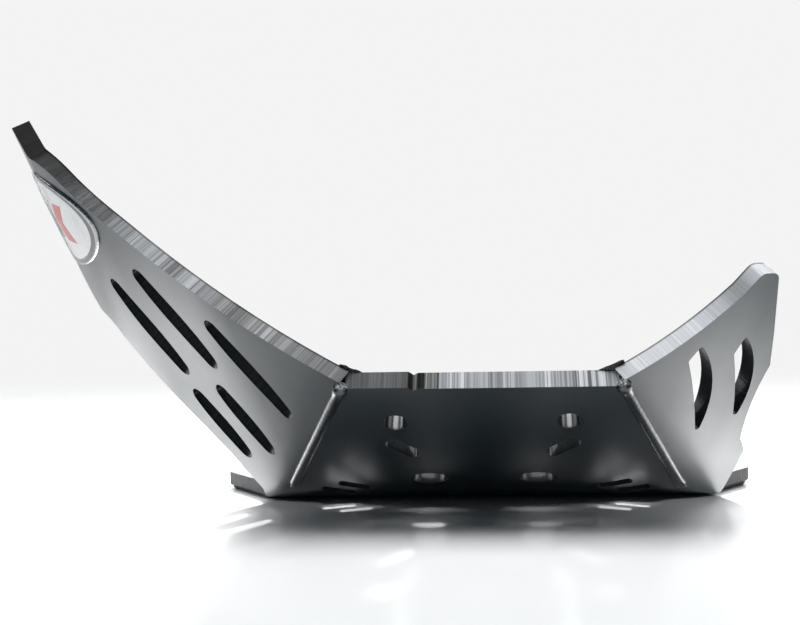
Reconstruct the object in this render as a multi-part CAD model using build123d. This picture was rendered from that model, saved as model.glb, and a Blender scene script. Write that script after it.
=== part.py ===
from build123d import *
from math import atan2, cos, degrees, hypot, radians, sin, tan
import os

# Motorcycle skid plate, folded from one 8 mm plastic sheet, with welded front corners.
# Millimetres. +Z is up, +Y points to the rear wheel, +X is to the right seen from the front.
# The origin is the middle of the four base bolt holes, on the underside of the base.

# Sheet and base, its widths given past the half width of the front flap
sheet_thickness = 8.0
fold_to_bolts = 150.0
base_length = 300.0
ear_overhang = 31.5
ear_setback = 33.0
ear_corner_radius = 3.0
waist_overhang = 19.5
waist_setback = 175.0
waist_radius = 60.0
rear_inset = 2.5
rear_corner_radius = 24.0
base_edge_chamfer = 2.5

# Base holes, from the middle of the bolt holes
bolt_hole_diameter = 8.5
bolt_spacing_x = 140.0
bolt_spacing_y = 160.0
drain_hole_diameter = 34.0
drain_hole_y = 40.0
wash_slot_length = 56.0
wash_slot_width = 9.0
wash_slot_spacing = 68.0
wash_slot_y = -38.0

# Front flap, its height measured up the slope from the fold line
front_angle = 45.0
front_height = 78.0
front_bend_radius = 40.0
front_half_width = 86.5
nick_x = -26.2
nick_width = 3.8
nick_depth = 1.3
front_step = 0.75

# Front holes
front_hole_spacing = 69.0
front_hole_height = 56.5
oval_hole_length = 13.5
oval_hole_width = 6.5
oval_hole_spacing = 45.0
oval_hole_height = 18.0

# Slanted slits on the front bend: distance from the middle, and angle round the bend
slit_length = 15.0
slit_width = 4.0
slit_slant = 19.0
slits = [(62.4, 32.0), (54.8, 39.0)]

# Wings: both rise from short slanted folds beside the front flap
wing_sweep = 60.0
wing_angle = 60.0
wing_neck = 10.1
seam_root = 2.0

# Left wing: points are across and up its own face from the front end of its fold
left_corner = (-73.7, 57.4)
left_mid = (-13.7, 96.9)
left_shoulder = (27.3, 136.9)
left_peak = 55.3
left_peak_radius = 22.0
left_top = 167.4
left_elbow = (61.8, 91.9)
left_elbow_radius = 12.0
left_rear_mid = (33.3, 50.6)
left_foot = (-9.1, -39.6)

# Backward curl of the left wing and its flat side panel
curl_start = 33.3
curl_radius = 70.0
curl_angle = 36.0
curl_join_angle = 33.0
side_length = 28.0
side_top = 175.1
side_top_radius = 4.0
side_bottom_radius = 10.0

# Left wing slots: centres of the upper and lower round ends
left_slot_width = 7.5
left_slots = [
    ((42.3, 110.8), (23.8, 71.0)),
    ((26.2, 115.6), (6.1, 74.8)),
    ((-1.0, 91.3), (-23.0, 50.7)),
    ((22.9, 56.2), (9.6, 27.8)),
    ((8.4, 59.1), (-4.6, 30.8)),
]

# Right wing, measured the same way
right_corner = (-73.7, 54.0)
right_seam = (-56.2, 66.4)
right_mid = (-31.7, 83.8)
right_shoulder = (-13.1, 103.1)
right_tip = (-7.7, 111.9)
right_crown = (0.1, 111.9)
right_tip_radius = 4.0
right_back = (9.6, 84.4)
right_hip = (14.6, 68.2)
right_waist = (12.8, 51.4)
right_step = (14.8, 31.4)
right_spur = (19.8, 24.4)
right_heel = (17.3, 6.4)
right_foot = (6.3, -39.6)

# Right wing slots: top, outer bulge, bottom, inner bulge, end of the inner side
right_slot_radius = 1.2
right_slots = [
    ((-24.0, 79.2), (-11.2, 58.9), (-11.8, 39.2), (-19.2, 56.9), (-28.1, 72.9)),
    ((-3.8, 82.6), (6.8, 66.4), (5.3, 45.1), (-0.2, 61.4), (-6.6, 75.0)),
]

# Welds
bead_radius = 2.4
bead_knob_radius = 3.2
bead_foot_height = 12.0
bead_overrun = 2.4
inner_weld_flap_leg = 8.0
inner_weld_wing_leg = 4.5
inner_weld_rise = 3.0
inner_weld_foot_height = 20.0

# Oval badge, placed on the side panel: along from the end of the curl, and down from its top
badge_length = 65.0
badge_height = 42.0
badge_thickness = 1.0
badge_along = -5.5
badge_drop = 36.2

# Reach of the construction solids past the part, and how close a point counts as the same
reach = 60.0
same_point = 0.01

fold_y = -fold_to_bolts
ear_half_width = front_half_width + ear_overhang
waist_half_width = front_half_width + waist_overhang
rear_half_width = front_half_width - rear_inset
badge_up = side_top - badge_drop
lean = radians(front_angle)
bend_y = fold_y + front_bend_radius * tan(lean / 2)


def bend_point(depth, angle):
    # Side view (y, z) of a point in the front bend, by depth in the sheet and angle in radians.
    r = front_bend_radius - depth
    return bend_y - r * sin(angle), front_bend_radius - r * cos(angle)


def flap_point(rise, depth):
    # Side view (y, z) of a point in the front flap, by distance up its slope and depth.
    y = fold_y - rise * cos(lean) + depth * sin(lean)
    z = rise * sin(lean) + depth * cos(lean)
    return y, z


def flap_plane(x, rise):
    # Plane on the outer face of the flap, z through its thickness to the inside.
    y, z = flap_point(rise, 0)
    return Plane((x, y, z), x_dir=(1, 0, 0), z_dir=(0, sin(lean), cos(lean)))


def bend_plane(x, turn):
    # The same on the outer face of the front bend.
    angle = radians(turn)
    y, z = bend_point(0, angle)
    return Plane((x, y, z), x_dir=(1, 0, 0), z_dir=(0, sin(angle), cos(angle)))


def wing_plane():
    # Left wing: x runs outward along the fold, y up the face, z through the thickness.
    sweep = radians(wing_sweep)
    tilt = radians(wing_angle)
    along = (-sin(sweep), cos(sweep), 0)
    inward = (sin(tilt) * cos(sweep), sin(tilt) * sin(sweep), cos(tilt))
    return Plane((-front_half_width, fold_y, 0), x_dir=along, z_dir=inward)


def side_panel_plane():
    # Within the wing: the outer face of the side panel, from the end of the curl.
    turn = radians(curl_angle)
    origin = (curl_start + curl_radius * sin(turn), 0, curl_radius * (1 - cos(turn)))
    return Plane(origin, x_dir=(cos(turn), 0, sin(turn)), z_dir=(-sin(turn), 0, cos(turn)))


def across(face):
    # Extrudes a side view over the full width of the plate.
    return extrude(Plane.YZ * face, amount=4 * reach, both=True)


def strip():
    # Base, front bend and front flap as one constant-thickness strip.
    rear = fold_y + base_length + reach
    t = sheet_thickness
    top = front_height + front_step
    low = [bend_point(0, lean * k / 2) for k in range(3)]
    high = [bend_point(t, lean * k / 2) for k in range(3)]
    outline = [
        Line((rear, 0), low[0]),
        ThreePointArc(*low),
        Line(low[2], flap_point(top, 0)),
        Line(flap_point(top, 0), flap_point(top, t)),
        Line(flap_point(top, t), high[2]),
        ThreePointArc(high[2], high[1], high[0]),
        Line(high[0], (rear, t)),
        Line((rear, t), (rear, 0)),
    ]
    return across(make_face(outline))


def above_strip():
    # All the space inside the outer face of base, bend and flap.
    rear = fold_y + base_length + reach
    far = flap_point(6 * reach, 0)
    low = [bend_point(0, lean * k / 2) for k in range(3)]
    outline = [
        Line((rear, 0), low[0]),
        ThreePointArc(*low),
        Line(low[2], far),
        Line(far, (rear, far[1])),
        Line((rear, far[1]), (rear, 0)),
    ]
    return across(make_face(outline))


def base_block():
    # Plan of the base with its ears, as a tall block with a chamfered lower edge.
    sweep = radians(wing_sweep)
    neck = (front_half_width + wing_neck * sin(sweep), fold_y + wing_neck * cos(sweep))
    right = [
        (neck[0] + reach, fold_y - front_height - reach),
        neck,
        (ear_half_width, fold_y + ear_setback),
        (waist_half_width, fold_y + waist_setback),
        (rear_half_width, fold_y + base_length),
    ]
    left = [(-x, y) for x, y in reversed(right)]
    plan = make_face(Polyline(*right, *left, close=True))
    rounds = [
        (ear_half_width, ear_corner_radius),
        (waist_half_width, waist_radius),
        (rear_half_width, rear_corner_radius),
    ]
    for half, radius in rounds:
        corners = plan.vertices().filter_by(lambda v: abs(abs(v.X) - half) < same_point)
        plan = fillet(corners, radius)
    block = extrude(plan, amount=2 * reach)
    return chamfer(block.faces().sort_by(Axis.Z)[0].edges(), base_edge_chamfer)


def base_holes():
    tools = []
    for x in (-bolt_spacing_x / 2, bolt_spacing_x / 2):
        for y in (-bolt_spacing_y / 2, bolt_spacing_y / 2):
            tools.append(Pos(x, y) * Circle(bolt_hole_diameter / 2))
    for x in (-wash_slot_spacing / 2, wash_slot_spacing / 2):
        tools.append(Pos(x, wash_slot_y) * SlotOverall(wash_slot_length, wash_slot_width, rotation=90))
    tools.append(Pos(0, drain_hole_y) * Circle(drain_hole_diameter / 2))
    return [extrude(tool, amount=reach, both=True) for tool in tools]


def front_holes():
    deep = 2 * sheet_thickness
    tools = []
    for side in (-1, 1):
        upper = flap_plane(side * front_hole_spacing / 2, front_hole_height)
        tools.append(extrude(upper * Circle(bolt_hole_diameter / 2), amount=deep, both=True))
        lower = flap_plane(side * oval_hole_spacing / 2, oval_hole_height)
        tools.append(extrude(lower * SlotOverall(oval_hole_length, oval_hole_width), amount=deep, both=True))
        for x, turn in slits:
            shape = SlotOverall(slit_length, slit_width, rotation=-side * slit_slant)
            tools.append(extrude(bend_plane(side * x, turn) * shape, amount=deep, both=True))
    half = nick_width / 2
    nick = make_face(Polyline(
        (-half, -front_step),
        (0, nick_depth),
        (half, 0),
        (half, -2 * front_step),
        (-half, -2 * front_step),
        close=True,
    ))
    tools.append(extrude(flap_plane(nick_x, front_height) * nick, amount=deep, both=True))
    return tools


def curl_section(near, far, start, end, lead, tail):
    # Plan section of the left wing between two depths and two angles of its curl.
    def at(depth, turn, run):
        angle = radians(turn)
        r = curl_radius - depth
        x = curl_start + r * sin(angle) + run * cos(angle)
        z = curl_radius - r * cos(angle) + run * sin(angle)
        return x, z

    def side(depth):
        arc = ThreePointArc(at(depth, start, 0), at(depth, (start + end) / 2, 0), at(depth, end, 0))
        pieces = [arc]
        if lead:
            pieces.append(Line(at(depth, start, -lead), at(depth, start, 0)))
        if tail:
            pieces.append(Line(at(depth, end, 0), at(depth, end, tail)))
        return pieces

    ends = [
        Line(at(near, start, -lead), at(far, start, -lead)),
        Line(at(near, end, tail), at(far, end, tail)),
    ]
    section = Plane.XZ * make_face(side(near) + side(far) + ends)
    return extrude(section, amount=4 * reach, both=True)


def left_wing():
    t = sheet_thickness
    peak = (left_peak, left_top)
    past = (curl_start + 2 * curl_radius, left_top)
    past_low = (past[0], left_elbow[1])
    outline = [
        ThreePointArc(left_corner, left_mid, left_shoulder),
        Line(left_shoulder, peak),
        Line(peak, past),
        Line(past, past_low),
        Line(past_low, left_elbow),
        ThreePointArc(left_elbow, left_rear_mid, left_foot),
        Line(left_foot, left_corner),
    ]
    face = make_face(outline)
    for point, radius in ((peak, left_peak_radius), (left_elbow, left_elbow_radius)):
        corner = face.vertices().sort_by_distance((point[0], point[1], 0))[0]
        face = fillet(corner, radius)
    front = curl_section(0, t, 0, curl_join_angle, 2 * reach, 0)
    front &= extrude(face, amount=2 * reach, both=True)

    join = -(curl_radius - t) * sin(radians(curl_angle - curl_join_angle))
    low = left_elbow[1]
    panel = make_face(Polyline(
        (join - t, low),
        (side_length, low),
        (side_length, side_top),
        (join, left_top),
        (join - t, left_top),
        close=True,
    ))
    for height, radius in ((low, side_bottom_radius), (side_top, side_top_radius)):
        corner = panel.vertices().sort_by_distance((side_length, height, 0))[0]
        panel = fillet(corner, radius)
    back = curl_section(0, t, curl_join_angle, curl_angle, 0, side_length + t)
    back &= extrude(side_panel_plane() * panel, amount=2 * reach, both=True)
    wing = front + back
    for top, bottom in left_slots:
        run = (top[0] - bottom[0], top[1] - bottom[1])
        slot = SlotCenterToCenter(hypot(*run), left_slot_width, rotation=degrees(atan2(run[1], run[0])))
        tool = Pos((top[0] + bottom[0]) / 2, (top[1] + bottom[1]) / 2) * slot
        wing -= extrude(tool, amount=2 * reach, both=True)
    return wing_plane().location * wing


def right_wing():
    # Drawn as a left wing; mirrored by the caller.
    outline = [
        Line(right_corner, right_seam),
        ThreePointArc(right_seam, right_mid, right_shoulder),
        Line(right_shoulder, right_tip),
        Line(right_tip, right_crown),
        Line(right_crown, right_back),
        Line(right_back, right_hip),
        ThreePointArc(right_hip, right_waist, right_step),
        Line(right_step, right_spur),
        Line(right_spur, right_heel),
        Line(right_heel, right_foot),
        Line(right_foot, right_corner),
    ]
    face = make_face(outline)
    for point in (right_tip, right_crown):
        corner = face.vertices().sort_by_distance((point[0], point[1], 0))[0]
        face = fillet(corner, right_tip_radius)
    for top, outer, bottom, inner, end in right_slots:
        slot = make_face([
            ThreePointArc(top, outer, bottom),
            ThreePointArc(bottom, inner, end),
            Line(end, top),
        ])
        face -= fillet(slot.vertices(), right_slot_radius)
    return wing_plane().location * extrude(face, amount=sheet_thickness)


def seam_point(height, depth):
    # Where flap and left wing meet, at a height and a depth into both.
    inward = wing_plane().z_dir
    y = (depth - height * cos(lean)) / sin(lean)
    x = (depth - y * inward.Y - height * inward.Z) / inward.X
    return Vector(x - front_half_width, y + fold_y, height)


def seam_run():
    # Direction of the left seam, upward.
    return (seam_point(reach, 0) - seam_point(0, 0)).normalized()


def past_seam(past):
    # All that lies past the square-cut end of one sheet at the left seam, above the bend.
    foot = seam_point(bead_foot_height, sheet_thickness - seam_root)
    frame = Plane(foot, x_dir=past, z_dir=seam_run())
    return frame.location * Pos(reach / 2, 0, reach) * Box(reach, 2 * reach, 2 * reach)


def past_wing():
    return past_seam(wing_plane().z_dir.cross(seam_run()))


def past_flap():
    return past_seam(seam_run().cross(flap_plane(0, 0).z_dir))


def sheet():
    body = strip() & base_block()
    step = Pos(2 * reach, -front_step) * Box(4 * reach, 2 * front_step, 4 * sheet_thickness)
    body -= flap_plane(nick_x, front_height).location * step
    side = wing_plane()
    body = split(body, bisect_by=side, keep=Keep.TOP) - past_flap()
    body = split(mirror(body, about=Plane.YZ), bisect_by=side, keep=Keep.TOP) - past_flap()
    body = mirror(body, about=Plane.YZ)
    space = above_strip()
    body += (left_wing() & space) - past_wing()
    body += mirror((right_wing() & space) - past_wing(), about=Plane.YZ)
    for tool in base_holes() + front_holes():
        body -= tool
    return body


def outer_bead(body):
    # Weld laid in the open groove of the left seam, trimmed to the sheet.
    foot = seam_point(bead_foot_height, 0)
    top = seam_point(flap_point(front_height, 0)[1], 0) + seam_run() * bead_overrun
    run = top - foot
    rod = extrude(Plane(foot, z_dir=run) * Circle(bead_radius), amount=run.length)
    rod += Pos(*foot) * Sphere(bead_radius)
    rod += Pos(*top) * Sphere(bead_knob_radius)
    weld = rod - body
    return weld.solids().sort_by(SortBy.VOLUME)[-1]


def inner_weld():
    # Three-cornered weld in the inside corner of the left seam, its top slanting up to the wing.
    foot = seam_point(inner_weld_foot_height, sheet_thickness)
    top = seam_point(flap_point(front_height, sheet_thickness)[1], sheet_thickness)
    flap_leg = flap_plane(0, 0).z_dir.cross(seam_run()) * inner_weld_flap_leg
    wing_leg = seam_run().cross(wing_plane().z_dir) * inner_weld_wing_leg
    lift = seam_run() * inner_weld_rise
    low = make_face(Polyline(foot, foot + flap_leg, foot + wing_leg, close=True))
    edge_end = top + Vector(inner_weld_flap_leg, 0, 0)
    high = make_face(Polyline(top, edge_end, top + wing_leg + lift, close=True))
    return loft([low, high])


def badge():
    shell = curl_section(-badge_thickness, 0, 0, curl_angle, curl_start, side_length)
    oval = Pos(badge_along, badge_up) * Ellipse(badge_length / 2, badge_height / 2)
    plate = shell & extrude(side_panel_plane() * oval, amount=reach, both=True)
    return wing_plane().location * plate


skid_sheet = sheet()
flipped = mirror(skid_sheet, about=Plane.YZ)
left_inner = inner_weld()

nodes = {
    "skid_sheet": skid_sheet,
    "left_weld_bead": outer_bead(skid_sheet),
    "right_weld_bead": mirror(outer_bead(flipped), about=Plane.YZ),
    "left_inner_weld": left_inner,
    "right_inner_weld": mirror(left_inner, about=Plane.YZ),
    "oval_badge": badge(),
}

os.makedirs("parts", exist_ok=True)
for name, shape in nodes.items():
    solids = shape.solids()
    print(name, len(solids), "solid, volume", round(shape.volume), "valid", shape.is_valid)
    export_step(solids[0], "parts/" + name + ".step")
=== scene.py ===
from math import asin, atan2, cos, hypot, pi, radians, sin, tan

import bmesh
import bpy
from mathutils import Matrix, Vector, noise


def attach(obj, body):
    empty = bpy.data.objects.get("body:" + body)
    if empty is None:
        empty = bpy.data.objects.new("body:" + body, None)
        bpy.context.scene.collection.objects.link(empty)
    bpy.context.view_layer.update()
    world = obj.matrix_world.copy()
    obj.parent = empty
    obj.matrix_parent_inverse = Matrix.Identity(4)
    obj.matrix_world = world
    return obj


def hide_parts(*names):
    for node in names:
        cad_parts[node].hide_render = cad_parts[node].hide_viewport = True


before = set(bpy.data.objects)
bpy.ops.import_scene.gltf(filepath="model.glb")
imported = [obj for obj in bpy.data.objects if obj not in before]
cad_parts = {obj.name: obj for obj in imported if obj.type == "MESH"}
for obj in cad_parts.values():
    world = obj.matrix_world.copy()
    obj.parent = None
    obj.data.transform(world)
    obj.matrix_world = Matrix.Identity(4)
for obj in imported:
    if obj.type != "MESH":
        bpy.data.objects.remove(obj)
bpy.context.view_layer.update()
print("loaded", sorted(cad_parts))

scene = bpy.context.scene
scene.view_settings.view_transform = "Standard"

# how the sheet is folded, in metres
plate = {
    "thickness": 0.008,
    "foldY": -0.150,
    "foldHalf": 0.0865,
    "flapAngle": radians(45),
    "bendRadius": 0.040,
    "flapHeight": 0.078,
    "wingSweep": radians(60),
    "wingTilt": radians(60),
    "curlStart": 0.0333,
    "curlRadius": 0.070,
    "curlAngle": radians(36),
}
bendY = plate["foldY"] + plate["bendRadius"] * tan(plate["flapAngle"] / 2)
bendTop = plate["bendRadius"] * (1 - cos(plate["flapAngle"]))
flapUp = Vector((0, -cos(plate["flapAngle"]), sin(plate["flapAngle"])))
flapIn = Vector((0, sin(plate["flapAngle"]), cos(plate["flapAngle"])))
wingOrigin = Vector((-plate["foldHalf"], plate["foldY"], 0))
wingAlong = Vector((-sin(plate["wingSweep"]), cos(plate["wingSweep"]), 0))
wingIn = Vector((
    sin(plate["wingTilt"]) * cos(plate["wingSweep"]),
    sin(plate["wingTilt"]) * sin(plate["wingSweep"]),
    cos(plate["wingTilt"]),
))
wingUp = wingIn.cross(wingAlong)

# the unfolded sheet's map: these panels are shifted clear of the base,
# and the second row tells them apart
mapShift = {"flap": 0.3, "rightWing": 1.0, "wings": 2.0}
mapSplit = {"flap": 0.25, "rightWing": 0.5, "wings": 1.5}


def mirrored(v):
    return Vector((-v.x, v.y, v.z))


def wingPoint(u, w, depth):
    return wingOrigin + wingAlong * u + wingUp * w + wingIn * depth


def wingPlace(p):
    q = p - wingOrigin
    return Vector((q.dot(wingAlong), q.dot(wingUp)))


def flapRise(p):
    return -(p.y - plate["foldY"]) * cos(plate["flapAngle"]) + p.z * sin(plate["flapAngle"])


def curlDepth(u):
    r = plate["curlRadius"]
    return r - (r * r - max(0.0, u - plate["curlStart"]) ** 2) ** 0.5


def curlPoint(along, up, lift):
    # along is measured from the end of the curl, seen square to the side panel
    r, a = plate["curlRadius"], plate["curlAngle"]
    if along >= 0:
        u = plate["curlStart"] + r * sin(a) + along * cos(a)
        depth = r * (1 - cos(a)) + along * sin(a)
        turn = a
    else:
        turn = a - asin(min(1, -along / r))
        u = plate["curlStart"] + r * sin(turn)
        depth = r * (1 - cos(turn))
    return wingPoint(u + lift * sin(turn), up, depth - lift * cos(turn))


def seamPoint(height):
    # where the outer face of the wing meets the flap, or the bend below it
    r = plate["bendRadius"]
    if height < bendTop:
        y = bendY - (r * r - (r - height) ** 2) ** 0.5 - plate["foldY"]
    else:
        y = -height / tan(plate["flapAngle"])
    x = (-y * wingIn.y - height * wingIn.z) / wingIn.x
    return Vector((x - plate["foldHalf"], y + plate["foldY"], height))


# small helpers for node trees

nodeGrid = {"columns": 8, "left": -2400, "right": 220, "down": 330}
plainGloss = 0.5  # the shader's own specular level


def newMaterial(name):
    mat = bpy.data.materials.new(name)
    mat.use_nodes = True
    tree = mat.node_tree
    return mat, tree, tree.nodes["Principled BSDF"]


def addNode(tree, kind, **values):
    # new nodes line up in rows, in the order they are made
    row, column = divmod(len(tree.nodes), nodeGrid["columns"])
    node = tree.nodes.new(kind)
    node.location = (nodeGrid["left"] + nodeGrid["right"] * column, -nodeGrid["down"] * row)
    for key, value in values.items():
        setattr(node, key, value)
    return node


def setInputs(node, **values):
    for key, value in values.items():
        node.inputs[key.replace("_", " ")].default_value = value
    return node


def feed(tree, value, socket):
    # colours and numbers are set on the socket, anything else is linked to it
    if isinstance(value, tuple):
        socket.default_value = (*value, 1)
    elif isinstance(value, (int, float)):
        socket.default_value = value
    else:
        tree.links.new(value, socket)


def mathNode(tree, operation, *values):
    node = addNode(tree, "ShaderNodeMath", operation=operation)
    for value, socket in zip(values, node.inputs):
        feed(tree, value, socket)
    return node.outputs[0]


def pick(tree, chosen, a, b):
    # a where chosen is 0, b where it is 1
    node = addNode(tree, "ShaderNodeMix", data_type="FLOAT")
    for value, slot in ((chosen, 0), (a, 2), (b, 3)):
        feed(tree, value, node.inputs[slot])
    return node.outputs[0]


def blend(tree, amount, a, b):
    # the same for colours
    node = addNode(tree, "ShaderNodeMix", data_type="RGBA")
    for value, slot in ((amount, 0), (a, 6), (b, 7)):
        feed(tree, value, node.inputs[slot])
    return node.outputs[2]


def spread(tree, source, start, end, low=0.0, high=1.0, curve="LINEAR"):
    node = addNode(tree, "ShaderNodeMapRange", interpolation_type=curve)
    setInputs(node, From_Min=start, From_Max=end, To_Min=low, To_Max=high)
    tree.links.new(source, node.inputs["Value"])
    return node.outputs["Result"]


def noiseTone(tree, source, scale, detail, roughness):
    node = addNode(tree, "ShaderNodeTexNoise")
    setInputs(node, Scale=scale, Detail=detail, Roughness=roughness)
    tree.links.new(source, node.inputs["Vector"])
    return node.outputs["Fac"]


def bumpNode(tree, height, strength, depth, below=None):
    node = setInputs(addNode(tree, "ShaderNodeBump"), Strength=strength, Distance=depth)
    tree.links.new(height, node.inputs["Height"])
    if below is not None:
        tree.links.new(below, node.inputs["Normal"])
    return node.outputs["Normal"]


def ramp(tree, source, stops):
    node = addNode(tree, "ShaderNodeValToRGB")
    elements = node.color_ramp.elements
    while len(elements) < len(stops):
        elements.new(0.5)
    for element, (position, tone) in zip(elements, stops):
        element.position = position
        element.color = (*tone, 1) if isinstance(tone, tuple) else (tone, tone, tone, 1)
    tree.links.new(source, node.inputs["Fac"])
    return node.outputs["Color"]


def fade(tree, source, span, low=0.0, high=1.0):
    return ramp(tree, source, [(span[0], low), (span[1], high)])


def stretchTone(tree, source, stops):
    # follows a list of places in metres and tones, which may be brighter than 1
    low, high = stops[0][0], stops[-1][0]
    peak = max(tone for at, tone in stops)
    span = spread(tree, source, low, high)
    shades = [((at - low) / (high - low), tone / peak) for at, tone in stops]
    return mathNode(tree, "MULTIPLY", ramp(tree, span, shades), peak)


def objectPlace(tree):
    return addNode(tree, "ShaderNodeTexCoord").outputs["Object"]


def splitNode(tree, source):
    node = addNode(tree, "ShaderNodeSeparateXYZ")
    tree.links.new(source, node.inputs["Vector"])
    return node.outputs


def sheetPlace(tree, layer):
    # one of the sheet's two maps, whole and as x and y
    uv = addNode(tree, "ShaderNodeUVMap", uv_map=layer).outputs["UV"]
    split = splitNode(tree, uv)
    return uv, split["X"], split["Y"]


# black sheet: satin faces with faint mottling, duller on the inner side; the wings' sheen is dimmed
# by place as painted shade, most by the seams

sheetFinish = {
    "dark": (0.006, 0.012, 0.015),
    "pale": (0.010, 0.018, 0.022),
    # noise as scale, detail and roughness
    "mottle": (38.0, 4.0, 0.6),
    "mottleSpan": (0.35, 0.7),
    "smear": (70.0, 5.0, 0.65),
    "smearSpan": (0.3, 0.7),
    "grain": (1600.0, 2.0, 0.5),
    "ripple": (55.0, 1.0, 0.4),
    # bumps as strength and depth
    "grainBump": (0.03, 0.0004),
    "rippleBump": (0.02, 0.002),
    "roughness": (0.29, 0.36),
    "ior": 2.35,
    "coat": 0.1,
    "coatRoughness": 0.2,
    "coatIor": 1.6,
    # painted shade and highlight in each wing's sheen, by place along and up the wing
    "leftAlong": [
        (-0.045, 0.296), (-0.030, 0.260), (-0.020, 0.289), (-0.012, 0.349), (-0.004, 0.623),
        (0.004, 0.898), (0.014, 0.996), (0.024, 0.938), (0.034, 0.828), (0.060, 0.780),
    ],
    "leftUp": [
        (0.004, 1.076), (0.016, 0.853), (0.035, 0.680), (0.060, 0.802),
        (0.090, 1.237), (0.130, 0.803), (0.140, 0.750),
    ],
    "rightAlong": [
        (-0.030, 1.06), (-0.018, 1.22), (-0.008, 1.19), (0.0, 0.99),
        (0.008, 0.98), (0.016, 0.81), (0.024, 0.66), (0.034, 0.54),
    ],
    "rightUp": [
        (0.0, 1.04), (0.012, 1.02), (0.020, 1.06), (0.035, 0.82),
        (0.050, 0.62), (0.075, 0.57), (0.088, 0.51), (0.105, 0.42),
    ],
    "flapPolish": 0.80,
    "innerTone": (0.0105, 0.0120, 0.0130),
    "innerPolish": 0.10,
    "innerRough": 0.16,
}


def makeSheetMaterial():
    mat, tree, shader = newMaterial("blackSheet")
    link, finish = tree.links.new, sheetFinish
    coords = objectPlace(tree)
    inner = sheetPlace(tree, "through")[1]

    mottle = noiseTone(tree, coords, *finish["mottle"])
    tone = fade(tree, mottle, finish["mottleSpan"], finish["dark"], finish["pale"])
    link(blend(tree, inner, tone, finish["innerTone"]), shader.inputs["Base Color"])

    smear = noiseTone(tree, coords, *finish["smear"])
    rough = spread(tree, smear, *finish["smearSpan"], *finish["roughness"])
    rough = mathNode(tree, "MULTIPLY_ADD", inner, finish["innerRough"], rough)
    link(rough, shader.inputs["Roughness"])

    grain = noiseTone(tree, coords, *finish["grain"])
    ripple = noiseTone(tree, coords, *finish["ripple"])
    bump = bumpNode(tree, grain, *finish["grainBump"])
    bump = bumpNode(tree, ripple, *finish["rippleBump"], bump)
    link(bump, shader.inputs["Normal"])

    u, v = sheetPlace(tree, "flatSheet")[1:]
    height = mathNode(tree, "SUBTRACT", v, mapShift["wings"])
    rightU = mathNode(tree, "SUBTRACT", u, mapShift["rightWing"])
    # painted shade and highlight: each wing's sheen is set by place along and up it
    left = mathNode(
        tree, "MULTIPLY",
        stretchTone(tree, u, finish["leftAlong"]),
        stretchTone(tree, height, finish["leftUp"]),
    )
    right = mathNode(
        tree, "MULTIPLY",
        stretchTone(tree, rightU, finish["rightAlong"]),
        stretchTone(tree, height, finish["rightUp"]),
    )
    isRight = mathNode(tree, "GREATER_THAN", u, mapSplit["rightWing"])
    isWing = mathNode(tree, "GREATER_THAN", v, mapSplit["wings"])
    wing = pick(tree, isRight, left, right)
    sheenWithPaintedShade = pick(tree, isWing, finish["flapPolish"], wing)
    sheenWithPaintedShade = pick(tree, inner, sheenWithPaintedShade, finish["innerPolish"])
    gloss = mathNode(tree, "MULTIPLY", sheenWithPaintedShade, plainGloss)
    link(gloss, shader.inputs["Specular IOR Level"])
    coat = mathNode(tree, "MULTIPLY_ADD", inner, -finish["coat"], finish["coat"])
    link(coat, shader.inputs["Coat Weight"])
    setInputs(
        shader, IOR=finish["ior"],
        Coat_Roughness=finish["coatRoughness"], Coat_IOR=finish["coatIor"],
    )
    return mat


# sawn edges: whitened by the blade, with stripes straight across the thickness, and made paler or
# darker by place as painted highlight and shade

edgeFinish = {
    "dark": (0.012, 0.0130, 0.014),
    "mid": (0.102, 0.107, 0.114),
    "pale": (0.180, 0.186, 0.197),
    # noise as scale, detail and roughness
    "stripes": (900.0, 3.0, 0.7),
    "stripeSpan": (0.42, 0.53),
    "bands": (260.0, 2.0, 0.6),
    "bandSpan": (0.38, 0.60),
    "patches": (42.0, 2.0, 0.55),
    "patchSpan": (0.42, 0.58),
    "patchTone": 0.35,
    "stripeShare": 0.25,
    # how pale each stretch is, partly the saw's whitening and partly painted highlight and shade,
    # such as the right wing's brighter edge and the painted shadow and lit facet of the flap's nick:
    # place across the sheet and tone
    "leftWing": [
        (-0.058, 0.66), (-0.045, 0.86), (-0.0365, 1.00), (-0.030, 1.10), (-0.0235, 2.40),
        (-0.018, 0.85), (-0.014, 0.62), (-0.010, 1.50), (-0.006, 2.00), (0.0015, 2.55),
        (0.0095, 1.65), (0.017, 3.50), (0.024, 2.20), (0.032, 0.55), (0.0405, 0.60),
        (0.049, 0.21), (0.059, 0.07), (0.068, 0.025),
    ],
    "rightWing": [
        (-0.060, 1.8), (-0.050, 3.4), (-0.028, 4.0), (-0.023, 3.1), (-0.0195, 3.1),
        (-0.0168, 2.3), (-0.0144, 1.65), (-0.012, 1.75), (-0.010, 3.2), (-0.008, 3.7),
        (0.0, 3.5), (0.004, 1.3), (0.010, 0.9),
    ],
    "flap": [
        (-0.060, 0.60), (-0.0286, 0.66), (-0.0282, 0.15), (-0.0266, 0.15), (-0.0262, 2.0),
        (-0.0252, 2.0), (-0.0248, 0.08), (-0.0217, 0.08), (-0.0213, 1.7), (-0.0206, 0.5),
        (-0.0199, 1.6), (-0.0193, 0.3), (-0.0187, 1.7), (-0.0180, 0.5), (-0.0172, 1.6),
        (-0.0168, 0.1), (-0.0164, 0.1), (-0.0160, 3.40), (0.060, 3.80),
    ],
    "elsewhere": 0.24,
    # the right wing and the base were sawn smoother
    "evened": 0.70,
    # painted shade: a dark line along the inner side
    "rimSpan": (0.86, 0.95),
    "rimTone": 0.12,
    "bump": (0.35, 0.0004),
    "roughness": 0.46,
    "ior": 1.5,
}


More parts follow.
